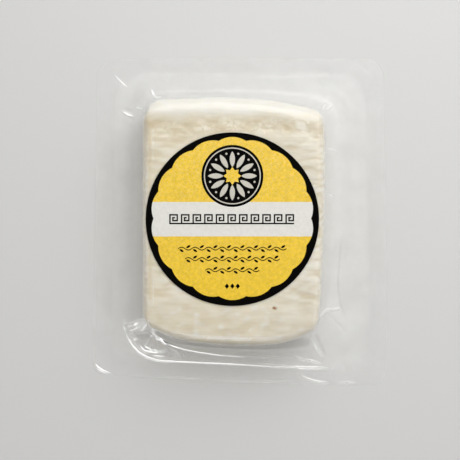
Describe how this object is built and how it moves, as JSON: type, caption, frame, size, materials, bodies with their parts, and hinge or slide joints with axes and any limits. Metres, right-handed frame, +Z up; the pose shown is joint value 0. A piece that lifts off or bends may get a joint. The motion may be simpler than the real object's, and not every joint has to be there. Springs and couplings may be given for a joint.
{
  "type": "vacuum-packed halloumi block",
  "caption": "Soft rounded block of halloumi cheese sealed between two clear films, with a sealed flange all round and a round paper label on top",
  "frame": {"origin": "on the ground under the middle of the pack", "axes": "+Z up through the label, +Y towards the end of the pack that is at the top of the label, +X to the right of someone who reads the label"},
  "size_m": [0.1178, 0.1306, 0.0235],
  "materials": {
    "cheese": "moist ivory halloumi with fine pressed ridges",
    "clear_film": "clear glossy plastic film, slightly hazy where it is sealed",
    "label_paper": "printed paper with a satin coat"
  },
  "bodies": {
    "root": {"halloumi_block": "cheese", "formed_film": "clear_film", "backing_film": "clear_film", "label": "label_paper"}
  },
  "joints": []
}
